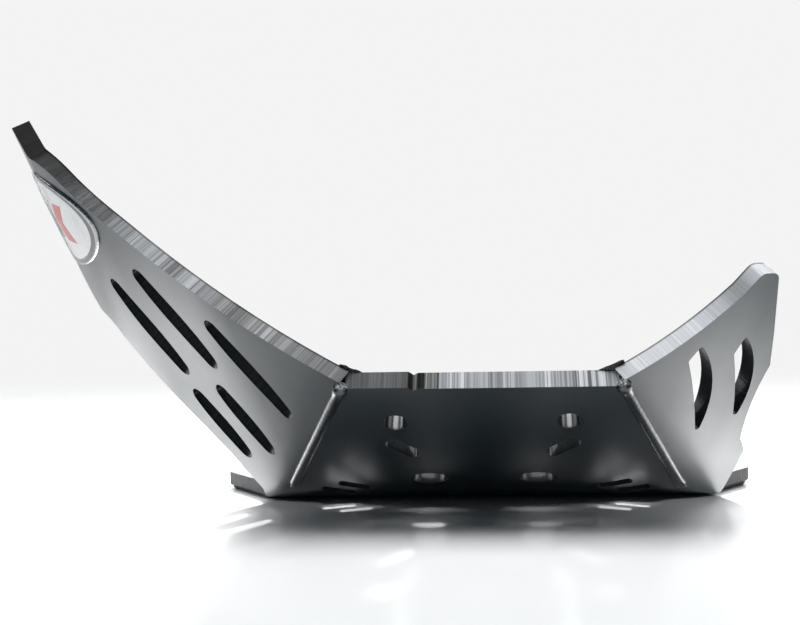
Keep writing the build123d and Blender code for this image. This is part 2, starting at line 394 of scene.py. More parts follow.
def makeEdgeMaterial():
    mat, tree, shader = newMaterial("sawnEdge")
    link, finish = tree.links.new, edgeFinish
    uv, u, v = sheetPlace(tree, "flatSheet")
    across = sheetPlace(tree, "through")[1]
    isRight = mathNode(tree, "GREATER_THAN", u, mapSplit["rightWing"])
    isWing = mathNode(tree, "GREATER_THAN", v, mapSplit["wings"])
    isFlap = mathNode(tree, "GREATER_THAN", v, mapSplit["flap"])
    isBase = mathNode(tree, "LESS_THAN", v, mapSplit["flap"])

    fine = noiseTone(tree, uv, *finish["stripes"])
    broad = noiseTone(tree, uv, *finish["bands"])
    patch = noiseTone(tree, uv, *finish["patches"])
    stripes = fade(tree, fine, finish["stripeSpan"])
    bands = fade(tree, broad, finish["bandSpan"])
    patches = fade(tree, patch, finish["patchSpan"])
    banded = mathNode(tree, "MULTIPLY", stripes, bands)
    patched = mathNode(tree, "MULTIPLY", patches, finish["patchTone"])
    calm = mathNode(tree, "MAXIMUM", banded, patched)
    share = finish["stripeShare"]
    striped = mathNode(tree, "MULTIPLY", stripes, share)
    level = mathNode(tree, "MULTIPLY_ADD", calm, 1 - share, striped)
    even = mathNode(tree, "MULTIPLY_ADD", level, 1 - finish["evened"], finish["evened"])
    isSmooth = mathNode(tree, "MAXIMUM", isRight, isBase)
    level = pick(tree, isSmooth, level, even)
    tones = [(0.0, finish["dark"]), (0.5, finish["mid"]), (1.0, finish["pale"])]
    tone = ramp(tree, level, tones)

    # painted highlight and shade: edge paleness and sheen set by place along each wing and the flap
    rightU = mathNode(tree, "SUBTRACT", u, mapShift["rightWing"])
    left = stretchTone(tree, u, finish["leftWing"])
    right = stretchTone(tree, rightU, finish["rightWing"])
    flap = stretchTone(tree, u, finish["flap"])
    wing = pick(tree, isRight, left, right)
    rest = pick(tree, isFlap, finish["elsewhere"], flap)
    stretch = pick(tree, isWing, rest, wing)
    # painted shade: the edge darkens towards its inner side
    rim = spread(tree, across, *finish["rimSpan"], 1.0, finish["rimTone"])
    paleness = mathNode(tree, "MULTIPLY", stretch, rim)
    scaled = addNode(tree, "ShaderNodeVectorMath", operation="SCALE")
    link(tone, scaled.inputs[0])
    link(paleness, scaled.inputs["Scale"])
    link(scaled.outputs["Vector"], shader.inputs["Base Color"])
    gloss = mathNode(tree, "MULTIPLY", paleness, plainGloss)
    gloss = mathNode(tree, "MINIMUM", gloss, plainGloss)
    link(gloss, shader.inputs["Specular IOR Level"])
    link(bumpNode(tree, fine, *finish["bump"]), shader.inputs["Normal"])
    setInputs(shader, Roughness=finish["roughness"], IOR=finish["ior"])
    return mat


# milled slot and hole walls: dark, with faint cutter lines, sheen set per kind of hole, and a
# painted highlight streak in the round ones

wallFinish = {
    "dark": (0.006, 0.0075, 0.0085),
    "pale": (0.012, 0.0140, 0.0155),
    "lines": (1100.0, 2.0, 0.6),
    "lineSpan": (0.4, 0.72),
    "lineBump": (0.2, 0.0003),
    "wingSheen": 0.08,
    # painted highlight: sheen set up the flap for the low holes, slanted slots and round holes
    "flapSheen": [
        (0.000, 0.17), (0.326, 0.17), (0.330, 0.16), (0.346, 0.16), (0.350, 0.55), (0.380, 0.55),
    ],
    # painted highlight: a bright streak of sheen down the middle of each round hole
    "highlightFrom": 0.348,
    "highlightStreak": [
        (0.0270, 0.10), (0.0318, 0.12), (0.0336, 1.0), (0.0350, 1.0), (0.0370, 0.12), (0.0420, 0.10),
    ],
    "roughness": 0.18,
    "ior": 2.0,
}


def makeWallMaterial():
    mat, tree, shader = newMaterial("milledWall")
    link, finish = tree.links.new, wallFinish
    uv, u, v = sheetPlace(tree, "flatSheet")
    lines = noiseTone(tree, uv, *finish["lines"])
    tone = fade(tree, lines, finish["lineSpan"], finish["dark"], finish["pale"])
    link(tone, shader.inputs["Base Color"])
    link(bumpNode(tree, lines, *finish["lineBump"]), shader.inputs["Normal"])

    # painted highlight: the streak and the flap's sheen are set by place
    aside = mathNode(tree, "ABSOLUTE", u)
    highlightStreak = stretchTone(tree, aside, finish["highlightStreak"])
    isRound = mathNode(tree, "GREATER_THAN", v, finish["highlightFrom"])
    bright = pick(tree, isRound, 1.0, highlightStreak)
    flap = stretchTone(tree, v, finish["flapSheen"])
    flap = mathNode(tree, "MULTIPLY", flap, bright)
    isWing = mathNode(tree, "GREATER_THAN", v, mapSplit["wings"])
    sheen = pick(tree, isWing, flap, finish["wingSheen"])
    link(sheen, shader.inputs["Specular IOR Level"])
    setInputs(shader, Roughness=finish["roughness"], IOR=finish["ior"])
    return mat


# which panel of the sheet a point or a face belongs to

panelLimits = {
    "curlX": -0.130,
    "stripTop": 0.0085,
    "seamLean": 0.577,
    "seamPlay": 0.002,
    "depthPlay": 0.001,
    "squareWithin": 0.05,
    "bendWithin": -1e-4,
    "stripFacing": 0.69,
    "wingFacing": 0.79,
    "rimFacing": 0.3,
}


def panelOf(p):
    limit = panelLimits
    for panel, q in (("leftWing", p), ("rightWing", mirrored(p))):
        if panel == "leftWing" and q.x < limit["curlX"]:
            return panel
        depth = (q - wingOrigin).dot(wingIn)
        inSheet = -limit["depthPlay"] < depth < plate["thickness"] + limit["depthPlay"]
        seamX = -plate["foldHalf"] + limit["seamLean"] * q.z
        aboveStrip = q.z > limit["stripTop"] or q.y < bendY
        if inSheet and q.x < seamX + limit["seamPlay"] and aboveStrip:
            return panel
    return "strip"


def isSheetFace(n, panel):
    limit = panelLimits
    if panel == "strip":
        isSquare = abs(n.x) < limit["squareWithin"] and n.y * n.z >= limit["bendWithin"]
        return isSquare and abs(n.z) > limit["stripFacing"]
    m = mirrored(n) if panel == "rightWing" else n
    return abs(m.dot(wingUp)) < limit["squareWithin"] and abs(m.dot(wingIn)) > limit["wingFacing"]


def isInnerFace(face, panel):
    # the side of the sheet that faces the engine
    if not isSheetFace(face.normal, panel):
        return False
    m = mirrored(face.normal) if panel == "rightWing" else face.normal
    return (m.z if panel == "strip" else m.dot(wingIn)) > 0


def isInnerRim(face):
    # the rounded rim on the inner side of a wing, kept dark as painted shade
    panel = panelOf(face.calc_center_median())
    m = mirrored(face.normal) if panel == "rightWing" else face.normal
    return panel != "strip" and m.dot(wingIn) > panelLimits["rimFacing"]


def flatPlace(p, panel):
    # where a point lies on the sheet before it was folded
    if panel == "strip":
        r = plate["bendRadius"]
        if p.y >= bendY:
            return p.x, bendY - p.y
        turn = atan2(bendY - p.y, r - p.z)
        if 0 <= turn < plate["flapAngle"]:
            return p.x, r * turn
        return p.x, flapRise(p) + mapShift["flap"]
    q = (mirrored(p) if panel == "rightWing" else p) - wingOrigin
    u, w, depth = q.dot(wingAlong), q.dot(wingUp), q.dot(wingIn)
    if panel == "leftWing" and u > plate["curlStart"]:
        r, a = plate["curlRadius"], plate["curlAngle"]
        turn = atan2(u - plate["curlStart"], r - depth)
        if turn < a:
            u = plate["curlStart"] + r * turn
        else:
            end = (plate["curlStart"] + r * sin(a), r * (1 - cos(a)))
            u = plate["curlStart"] + r * a + (u - end[0]) * cos(a) + (depth - end[1]) * sin(a)
    return u + (mapShift["rightWing"] if panel == "rightWing" else 0.0), w + mapShift["wings"]


# cut faces, gathered round each hole and along the outline

sheetShape = {
    "mergeWithin": 2e-6,
    "flatWithin": radians(0.3),
    "sliceWithin": 1e-6,
    "sliverUnder": 1e-7,
    "edgeRound": 0.00035,
    "roundSteps": 2,
    "sharpFrom": radians(24),
    "smoothBelow": radians(50),
    "uprightBelow": 0.8,
    "slotSpan": 0.028,
    "holeSpan": 0.075,
}


def inOrder(things):
    # each thing once, in an order that is the same on every run
    return list(dict.fromkeys(things))


def cutGroups(faces):
    waiting = dict.fromkeys(faces)
    while waiting:
        group, front = [], [waiting.popitem()[0]]
        while front:
            face = front.pop()
            group.append(face)
            for edge in face.edges:
                for other in edge.link_faces:
                    if other in waiting:
                        del waiting[other]
                        front.append(other)
        yield group


def allCuts(bm):
    middles = ((f, panelOf(f.calc_center_median())) for f in bm.faces)
    return list(cutGroups([f for f, panel in middles if not isSheetFace(f.normal, panel)]))


def vertsOf(faces):
    return inOrder(v for f in faces for v in f.verts)


def spanOf(group):
    points = [v.co for v in vertsOf(group)]
    return max(max(p[k] for p in points) - min(p[k] for p in points) for k in range(3))


def wingSlots(bm, panel):
    for group in allCuts(bm):
        middle = sum((f.calc_center_median() for f in group), Vector()) / len(group)
        isSlot = sheetShape["slotSpan"] < spanOf(group) < sheetShape["holeSpan"]
        if isSlot and panelOf(middle) == panel:
            yield group


def sliceFaces(bm, faces, at, way):
    around = [*faces, *inOrder(e for f in faces for e in f.edges), *vertsOf(faces)]
    done = bmesh.ops.bisect_plane(
        bm, geom=around, dist=sheetShape["sliceWithin"], plane_co=at, plane_no=way,
    )
    return [g for g in done["geom"] if isinstance(g, bmesh.types.BMFace)]


# two slanted slots between the flap's round and low holes

flapSlots = {
    "x": 0.0326,
    "slant": 0.0390,
    "length": 0.0160,
    "width": 0.0065,
    "turn": radians(38),
    "spokes": 20,
    "overcut": 0.003,
}


def slotCutter(side):
    r, spokes = flapSlots["width"] / 2, flapSlots["spokes"]
    reach = flapSlots["length"] / 2 - r
    outline = []
    for k in range(spokes):
        a = 2 * pi * (k + 0.5) / spokes
        outline.append((r * cos(a) + (reach if cos(a) > 0 else -reach), r * sin(a)))
    c, t = cos(flapSlots["turn"]), sin(flapSlots["turn"])
    rings = []
    for depth in (-flapSlots["overcut"], plate["thickness"] + flapSlots["overcut"]):
        for a, b in outline:
            x = side * (flapSlots["x"] + a * c - b * t)
            slant = flapSlots["slant"] + a * t + b * c
            rings.append(Vector((x, plate["foldY"], 0)) + flapUp * slant + flapIn * depth)
    faces = [tuple(range(spokes)), tuple(range(2 * spokes - 1, spokes - 1, -1))]
    for k in range(spokes):
        nxt = (k + 1) % spokes
        faces.append((k, k + spokes, nxt + spokes, nxt))
    mesh = bpy.data.meshes.new("slotCutter")
    mesh.from_pydata(rings, [], faces)
    bm = bmesh.new()
    bm.from_mesh(mesh)
    bmesh.ops.recalc_face_normals(bm, faces=bm.faces)
    bm.to_mesh(mesh)
    bm.free()
    cutter = bpy.data.objects.new("slotCutter", mesh)
    scene.collection.objects.link(cutter)
    return cutter


def finishedMesh(piece):
    return bpy.data.meshes.new_from_object(
        piece.evaluated_get(bpy.context.evaluated_depsgraph_get())
    )


def cutFlapSlots(mesh):
    draft = bpy.data.objects.new("slottedDraft", mesh)
    scene.collection.objects.link(draft)
    cutters = [slotCutter(side) for side in (-1, 1)]
    for cutter in cutters:
        cut = draft.modifiers.new("slot", "BOOLEAN")
        cut.operation = "DIFFERENCE"
        cut.solver = "EXACT"
        cut.object = cutter
    slotted = finishedMesh(draft)
    for thing in (draft, *cutters):
        bpy.data.objects.remove(thing)
    return slotted


# the left wing's slots narrow like leaves towards their ends

leafShape = {"narrowing": 0.38, "cuts": 9}


def shapeLeafSlots(bm):
    for group in wingSlots(bm, "leftWing"):
        places = [wingPlace(v.co) for f in group for v in f.verts]
        top, low = max(places, key=lambda q: q.y), min(places, key=lambda q: q.y)
        axis = (top - low).normalized()
        across = Vector((-axis.y, axis.x))
        along, aside = [q.dot(axis) for q in places], [q.dot(across) for q in places]
        start, end = min(along), max(along)
        centre = (max(aside) + min(aside)) / 2
        way = wingAlong * axis.x + wingUp * axis.y
        faces = group
        for k in range(1, leafShape["cuts"] + 1):
            at = start + (end - start) * k / (leafShape["cuts"] + 1)
            faces = sliceFaces(bm, faces, wingOrigin + way * at, way)
        for v in vertsOf(faces):
            q = wingPlace(v.co)
            t = 2 * (q.dot(axis) - start) / (end - start) - 1
            shift = across * (q.dot(across) - centre) * -leafShape["narrowing"] * t * t
            sink = curlDepth(q.x + shift.x) - curlDepth(q.x)
            v.co += wingAlong * shift.x + wingUp * shift.y + wingIn * sink


# the right wing's slots reach further down

longSlots = {"stretch": 0.125, "fixedAt": 0.18}


def stretchRightSlots(bm):
    for group in wingSlots(bm, "rightWing"):
        places = {v: wingPlace(mirrored(v.co)) for v in vertsOf(group)}
        top = max(places.values(), key=lambda q: q.y)
        low = min(places.values(), key=lambda q: q.y)
        for v, q in places.items():
            t = (top.y - q.y) / (top.y - low.y)
            shift = (low - top) * longSlots["stretch"] * (t - longSlots["fixedAt"])
            v.co += mirrored(wingAlong * shift.x + wingUp * shift.y)


# the flap's holes: wide round ones on top, lens-shaped ones below

flapHoles = {
    "roundFrom": 0.050,
    "roundWide": 1.22,
    "roundTall": 1.10,
    "lensRise": (0.012, 0.026),
    "lensReach": 0.040,
    "lensHalf": 0.0078,
    "lensTall": 0.0036,
    "cuts": 7,
}


def shapeFlapHoles(bm):
    lowest, highest = flapHoles["lensRise"]
    for group in allCuts(bm):
        verts = vertsOf(group)
        middle = sum((v.co for v in verts), Vector()) / len(verts)
        if panelOf(middle) != "strip" or spanOf(group) > sheetShape["slotSpan"]:
            continue
        centre = flapRise(middle)
        half = max(abs(v.co.x - middle.x) for v in verts)
        isRound = centre > flapHoles["roundFrom"]
        isLens = lowest < centre < highest and abs(middle.x) < flapHoles["lensReach"]
        if isRound:
            for v in verts:
                dx = (v.co.x - middle.x) * (flapHoles["roundWide"] - 1)
                rise = (flapRise(v.co) - centre) * (flapHoles["roundTall"] - 1)
                v.co += Vector((dx, 0, 0)) + flapUp * rise
        elif isLens:
            faces = group
            for k in range(1, flapHoles["cuts"] + 1):
                at = Vector((half * (2 * k / (flapHoles["cuts"] + 1) - 1), 0, 0))
                faces = sliceFaces(bm, faces, middle + at, (1, 0, 0))
            for v in vertsOf(faces):
                x, rise = v.co.x - middle.x, flapRise(v.co) - centre
                t = x / half
                bulge = flapHoles["lensTall"] * max(0.0, 1 - t * t) ** 0.5
                dx = t * flapHoles["lensHalf"] - x
                v.co += Vector((dx, 0, 0)) + flapUp * ((bulge if rise > 0 else -bulge) - rise)


def makeSheetSkin(materials):
    shape = sheetShape
    bm = bmesh.new()
    bm.from_mesh(cutFlapSlots(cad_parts["skid_sheet"].data.copy()))
    bmesh.ops.remove_doubles(bm, verts=bm.verts, dist=shape["mergeWithin"])
    bmesh.ops.dissolve_limit(
        bm, angle_limit=shape["flatWithin"], verts=bm.verts, edges=bm.edges,
    )
    bm.normal_update()
    shapeLeafSlots(bm)
    stretchRightSlots(bm)
    bm.normal_update()
    shapeFlapHoles(bm)
    inside = [e for e in bm.edges if len(e.link_faces) == 2]
    bmesh.ops.bevel(
        bm, geom=[e for e in inside if e.calc_face_angle(0) > shape["sharpFrom"]],
        offset=shape["edgeRound"], offset_type="OFFSET", segments=shape["roundSteps"],
        profile=0.5, affect="EDGES", clamp_overlap=True,
    )
    bmesh.ops.dissolve_degenerate(bm, dist=shape["sliverUnder"], edges=bm.edges)
    bm.normal_update()
    flat = bm.loops.layers.uv.new("flatSheet")
    through = bm.loops.layers.uv.new("through")
    # the inner rim's corners count as inner, so the sawn edge beside them gets its painted shade
    # line
    innerVerts = set(vertsOf([face for face in bm.faces if isInnerRim(face)]))
    cutFaces = []
    for face in bm.faces:
        face.smooth = True
        middle = face.calc_center_median()
        panel = panelOf(middle)
        isUpright = abs(face.normal.z) < shape["uprightBelow"]
        if isUpright and middle.z < plate["thickness"] and not isSheetFace(face.normal, panel):
            panel = "strip"  # the base's own edge beside a wing
        if not isSheetFace(face.normal, panel):
            cutFaces.append(face)
        isInner = isInnerFace(face, panel)
        for loop in face.loops:
            loop[flat].uv = flatPlace(loop.vert.co, panel)
            loop[through].uv = (1.0 if isInner or loop.vert in innerVerts else 0.0, 0.0)
    holes = 0
    for group in list(cutGroups(cutFaces)):
        isHole = spanOf(group) < shape["holeSpan"]
        holes += isHole
        for face in group:
            # the inner rim takes the dark wall material as painted shade along the wing's back edge
            face.material_index = 2 if isHole or isInnerRim(face) else 1
    for edge in bm.edges:
        edge.smooth = edge.calc_face_angle(0) < shape["smoothBelow"]
    draft = bpy.data.meshes.new("sheetDraft")
    bm.to_mesh(draft)
    bm.free()
    skin = bpy.data.objects.new("sheetSkin", draft)
    scene.collection.objects.link(skin)
    even = skin.modifiers.new("evenNormals", "WEIGHTED_NORMAL")
    even.mode = "FACE_AREA"
    even.weight = 100
    even.keep_sharp = True
    mesh = finishedMesh(skin)
    mesh.name = "sheetSkin"
    skin.modifiers.remove(even)
    skin.data = mesh
    for mat in materials:
        mesh.materials.append(mat)
    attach(skin, "root")
    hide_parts("skid_sheet")
    print("sheet skin", len(mesh.polygons), "faces,", len(cutFaces), "cut, round", holes, "holes")


# welds: melted rods with a rippled skin, and torn three-cornered welds inside

weldFinish = {
    "dark": (0.008, 0.010, 0.011),
    "pale": (0.018, 0.020, 0.022),
    "cloud": (420.0, 4.0, 0.6),
    "cloudSpan": (0.35, 0.7),
    "glossSpan": (0.3, 0.7),
    "bump": (0.1, 0.0004),
    "coatRoughness": 0.08,
    # white crumbs at the torn upper end
    "white": (0.42, 0.44, 0.46),
    "whiteSpan": (0.0555, 0.0563),
    "crumbs": (1100.0, 2.0, 0.6),
    "crumbSpan": (0.44, 0.58),
}
weldGloss = {
    "meltedWeld": {"crumbs": 1.0, "roughness": (0.14, 0.24), "ior": 1.7, "coat": 0.4},
    "innerWeld": {"crumbs": 0.2, "roughness": (0.34, 0.44), "ior": 1.4, "coat": 0.0},
}


def makeWeldMaterial(name):
    mat, tree, shader = newMaterial(name)
    link, finish, gloss = tree.links.new, weldFinish, weldGloss[name]
    coords = objectPlace(tree)
    cloud = noiseTone(tree, coords, *finish["cloud"])
    tone = fade(tree, cloud, finish["cloudSpan"], finish["dark"], finish["pale"])
    atTop = spread(tree, splitNode(tree, coords)["Z"], *finish["whiteSpan"])
    crumbs = noiseTone(tree, coords, *finish["crumbs"])
    specks = fade(tree, crumbs, finish["crumbSpan"])
    paleness = mathNode(tree, "MULTIPLY", atTop, specks)
    paleness = mathNode(tree, "MULTIPLY", paleness, gloss["crumbs"])
    colour = blend(tree, paleness, tone, finish["white"])
    link(colour, shader.inputs["Base Color"])
    rough = spread(tree, cloud, *finish["glossSpan"], *gloss["roughness"])
    link(rough, shader.inputs["Roughness"])
    link(bumpNode(tree, cloud, *finish["bump"]), shader.inputs["Normal"])
    setInputs(
        shader, IOR=gloss["ior"], Coat_Weight=gloss["coat"],
        Coat_Roughness=finish["coatRoughness"],
    )
    return mat


weldShape = {
    "sizes": {
        "Radius": 0.0023,
        "Lump": 0.0009,
        "Ripple": 0.00003,
        "Ripple pitch": 0.0026,
        "Wobble": 0.00024,
    },
    "foot": {"left": 0.0088, "right": 0.0070},
    "footSteps": 6,
    "overrun": 0.0024,
    "pathPoints": 130,
    "ringPoints": 28,
    # stretches of the bead's length, from 0 to 1, and how wide they are
    "lumpSpan": (0.90, 0.985, 0.0, 1.0),
    "footSpan": (0.0, 0.06, 0.35, 1.0),
    "tipSpan": (0.970, 1.0, 1.0, 0.62),
    "wobbleNoise": (300.0, 3.0, 0.5),
}


def makeWeldTree(material):
    tree = bpy.data.node_groups.new("weldBead", "GeometryNodeTree")
    face, link = tree.interface, tree.links.new
    face.new_socket("Geometry", in_out="INPUT", socket_type="NodeSocketGeometry")
    names = {}
    for label in weldShape["sizes"]:
        socket = face.new_socket(label, in_out="INPUT", socket_type="NodeSocketFloat")
        names[label] = socket.identifier
    face.new_socket("Geometry", in_out="OUTPUT", socket_type="NodeSocketGeometry")

    def step(kind, **values):
        return addNode(tree, kind, **values)

    def calc(operation, *values):
        return mathNode(tree, operation, *values)

    size = step("NodeGroupInput").outputs
    path = step("GeometryNodeMeshToCurve")
    link(size["Geometry"], path.inputs["Mesh"])
    dense = step("GeometryNodeResampleCurve")
    dense.inputs["Count"].default_value = weldShape["pathPoints"]
    link(path.outputs["Curve"], dense.inputs["Curve"])

    # width of the bead along its length
    where = step("GeometryNodeSplineParameter").outputs
    turns = calc("DIVIDE", where["Length"], size["Ripple pitch"])
    wave = calc("SINE", calc("MULTIPLY", turns, 2 * pi))
    scales = calc("MULTIPLY", wave, size["Ripple"])
    nearEnd = spread(tree, where["Factor"], *weldShape["lumpSpan"], "SMOOTHSTEP")
    lump = calc("MULTIPLY", nearEnd, size["Lump"])
    foot = spread(tree, where["Factor"], *weldShape["footSpan"], "SMOOTHERSTEP")
    tip = spread(tree, where["Factor"], *weldShape["tipSpan"], "SMOOTHSTEP")
    bulk = calc("ADD", calc("ADD", size["Radius"], scales), lump)
    width = calc("MULTIPLY", calc("MULTIPLY", bulk, foot), tip)

    ring = step("GeometryNodeCurvePrimitiveCircle")
    ring.inputs["Resolution"].default_value = weldShape["ringPoints"]
    ring.inputs["Radius"].default_value = 1.0
    tube = step("GeometryNodeCurveToMesh")
    tube.inputs["Fill Caps"].default_value = True
    link(dense.outputs["Curve"], tube.inputs["Curve"])
    link(width, tube.inputs["Scale"])
    link(ring.outputs["Curve"], tube.inputs["Profile Curve"])

    # an uneven skin
    spot = step("GeometryNodeInputPosition").outputs["Position"]
    rough = noiseTone(tree, spot, *weldShape["wobbleNoise"])
    swing = calc("SUBTRACT", rough, 0.5)
    push = step("ShaderNodeVectorMath", operation="SCALE")
    link(step("GeometryNodeInputNormal").outputs["Normal"], push.inputs[0])
    link(calc("MULTIPLY", swing, size["Wobble"]), push.inputs["Scale"])
    moved = step("GeometryNodeSetPosition")
    link(tube.outputs["Mesh"], moved.inputs["Geometry"])
    link(push.outputs["Vector"], moved.inputs["Offset"])
    smooth = step("GeometryNodeSetShadeSmooth")
    link(moved.outputs["Geometry"], smooth.inputs["Geometry"])
    whole = step("GeometryNodeRealizeInstances")
    link(smooth.outputs["Geometry"], whole.inputs["Geometry"])
    dressed = step("GeometryNodeSetMaterial")
    dressed.inputs["Material"].default_value = material
    link(whole.outputs["Geometry"], dressed.inputs["Geometry"])
    outlet = step("NodeGroupOutput")
    link(dressed.outputs["Geometry"], outlet.inputs["Geometry"])
    return tree, names


def makeWeld(name, node, points, tree, names):
    path = bpy.data.meshes.new(name + "Path")
    path.from_pydata(points, [(k, k + 1) for k in range(len(points) - 1)], [])
    piece = bpy.data.objects.new(name, path)
    scene.collection.objects.link(piece)
    grow = piece.modifiers.new("weldBead", "NODES")
    grow.node_group = tree
    for label, value in weldShape["sizes"].items():
        grow[names[label]] = value
    piece.data.update()
    mesh = finishedMesh(piece)
    piece.modifiers.remove(grow)
    piece.data = mesh
    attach(piece, "root")
    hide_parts(node)
    print("weld", name, len(mesh.polygons), "faces")


innerShape = {
    "flatWithin": radians(1),
    "edgeRound": 0.0004,
    "skinStep": 0.0012,
    "sliceWithin": 3e-5,
    "rough": 0.00008,
    "torn": {"left": 0.0010, "right": 0.0002},
    "tornOver": 0.010,
    "lumpsPerMetre": 520,
    "crumbsPerMetre": 1300,
}


def makeInnerWeld(side, material):
    node, shape = side + "_inner_weld", innerShape
    bm = bmesh.new()
    bm.from_mesh(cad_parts[node].data)
    bmesh.ops.remove_doubles(bm, verts=bm.verts, dist=sheetShape["mergeWithin"])
    bmesh.ops.dissolve_limit(
        bm, angle_limit=shape["flatWithin"], verts=bm.verts, edges=bm.edges,
    )
    bmesh.ops.bevel(
        bm, geom=list(bm.edges), offset=shape["edgeRound"], segments=2,
        profile=0.5, affect="EDGES", clamp_overlap=True,
    )
    # cut fine enough for the torn skin
    spots = [v.co.copy() for v in bm.verts]
    for way in (Vector((1, 0, 0)), Vector((0, 1, 0)), Vector((0, 0, 1))):
        low, high = min(p.dot(way) for p in spots), max(p.dot(way) for p in spots)
        count = int((high - low) / shape["skinStep"])
        for k in range(1, count):
            around = bm.verts[:] + bm.edges[:] + bm.faces[:]
            at = way * (low + (high - low) * k / count)
            bmesh.ops.bisect_plane(
                bm, geom=around, dist=shape["sliceWithin"], plane_co=at, plane_no=way,
            )
    bmesh.ops.triangulate(bm, faces=bm.faces)
    bm.normal_update()
    top = max(v.co.z for v in bm.verts)
    for v in bm.verts:
        torn = max(0.0, 1 - (top - v.co.z) / shape["tornOver"])
        swing = noise.noise(v.co * shape["lumpsPerMetre"])
        swing += 0.5 * noise.noise(v.co * shape["crumbsPerMetre"])
        v.co += v.normal * swing * (shape["rough"] + torn * shape["torn"][side])
    for face in bm.faces:
        face.smooth = True
    mesh = bpy.data.meshes.new(side + "InnerWeld")
    bm.to_mesh(mesh)
    bm.free()
    piece = bpy.data.objects.new(side + "InnerWeld", mesh)
    scene.collection.objects.link(piece)
    mesh.materials.append(material)
    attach(piece, "root")
    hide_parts(node)
    print("inner weld", side, len(mesh.polygons), "faces")


def makeWelds():
    tree, names = makeWeldTree(makeWeldMaterial("meltedWeld"))
    dull = makeWeldMaterial("innerWeld")
    top = seamPoint(plate["flapHeight"] * sin(plate["flapAngle"]))
    for side, flip in (("left", lambda v: v), ("right", mirrored)):
        foot, steps = weldShape["foot"][side], weldShape["footSteps"]
        points = [seamPoint(foot + (bendTop - foot) * k / steps) for k in range(steps + 1)]
        points.append(top + (top - points[-1]).normalized() * weldShape["overrun"])
        makeWeld(side + "Weld", side + "_weld_bead", [flip(p) for p in points], tree, names)
        makeInnerWeld(side, dull)


# oval badge: silver rim, dark border, white field with plain chevrons

badgeShape = {
    "along": -0.0055,
    "up": 0.1389,
    "halfLength": 0.0325,
    "halfHeight": 0.0210,
    "borderFrom": 0.87,
    "rimFrom": 0.945,
    "rimEnd": 0.99,
    "thickness": 0.0010,
    "under": -0.0002,
    "rings": 40,
    "spokes": 96,
    # heights as shares of the thickness
    "fieldLift": 0.62,
    "fieldCrown": 0.10,
    "rimCrown": 0.43,
    "footLift": 0.3,
    # the rim rises on this part of a half wave, and drops to its foot at the end
    "rimWave": (0.05, 0.75),
    "footFrom": 0.95,
}
badgeBars = {
    "half": 0.42,
    "point": 0.17,
    "steps": 24,
    "lift": 0.00010,
    "sunk": -0.00015,
    "flatFrom": 0.7,
    # start, width and material of each chevron
    "bars": ((-0.46, 0.26, 3), (-0.02, 0.07, 4), (0.18, 0.07, 4)),
}
# colour, roughness and metal of each print, in the order of the mesh's materials
badgeFinish = {
    "badgeField": ((0.70, 0.70, 0.69), 0.35, 0.0),
    "badgeBorder": ((0.10, 0.10, 0.11), 0.35, 0.0),
    "badgeRim": ((0.40, 0.41, 0.43), 0.25, 0.85),
    "badgeChevron": ((0.55, 0.015, 0.015), 0.35, 0.0),
    "badgePencil": ((0.05, 0.05, 0.055), 0.35, 0.0),
}
printWear = {
    "cloud": (500.0, 3.0, 0.55),
    "cloudSpan": (0.3, 0.65),
    "shade": 0.88,
    "wearSpan": (0.3, 0.7),
    "wear": (0.8, 1.25),
    "coat": 0.6,
    "coatRoughness": 0.08,
}


def makePrintMaterial(name, colour, roughness, metallic):
    mat, tree, shader = newMaterial(name)
    coords = objectPlace(tree)
    cloud = noiseTone(tree, coords, *printWear["cloud"])
    low = tuple(c * printWear["shade"] for c in colour)
    tone = fade(tree, cloud, printWear["cloudSpan"], low, colour)
    tree.links.new(tone, shader.inputs["Base Color"])
    span = [roughness * share for share in printWear["wear"]]
    wear = spread(tree, cloud, *printWear["wearSpan"], *span)
    tree.links.new(wear, shader.inputs["Roughness"])
    setInputs(
        shader, Metallic=metallic, Coat_Weight=printWear["coat"],
        Coat_Roughness=printWear["coatRoughness"],
    )
    return mat


def badgeLift(rho):
    # flat print with a rounded rim
    rim, t, field = badgeShape["rimFrom"], badgeShape["thickness"], badgeShape["fieldLift"]
    if rho < rim:
        return t * (field + badgeShape["fieldCrown"] * (1 - (rho / rim) ** 2))
    across = (rho - rim) / (1 - rim)
    if across < badgeShape["footFrom"]:
        start, share = badgeShape["rimWave"]
        return t * (field + badgeShape["rimCrown"] * sin(pi * min(1, across * share + start)))
    return t * badgeShape["footLift"]


def badgePlace(x, y, lift):
    return curlPoint(
        badgeShape["along"] + badgeShape["halfLength"] * x,
        badgeShape["up"] + badgeShape["halfHeight"] * y,
        lift,
    )


def addChevron(bm, start, width, kind):
    # a thin bent bar that follows the curl, sunk a little into the print
    half, steps = badgeBars["half"], badgeBars["steps"]
    upper = [(dx, badgeBars["lift"]) for dx in (0, width / 2, width)]
    corners = upper + [(dx, badgeBars["sunk"]) for dx in (width, width / 2, 0)]
    rows = []
    for k in range(steps + 1):
        y = -half + 2 * half * k / steps
        x = start + badgeBars["point"] * (1 - abs(y) / half)
        level = badgeLift(min(hypot(x, y), badgeBars["flatFrom"]))
        rows.append([bm.verts.new(badgePlace(x + dx, y, level + up)) for dx, up in corners])
    for a, b in zip(rows, rows[1:]):
        for c in range(len(corners)):
            d = (c + 1) % len(corners)
            bm.faces.new((a[c], a[d], b[d], b[c])).material_index = kind
    for end in (rows[0], rows[-1]):
        bm.faces.new(end).material_index = kind


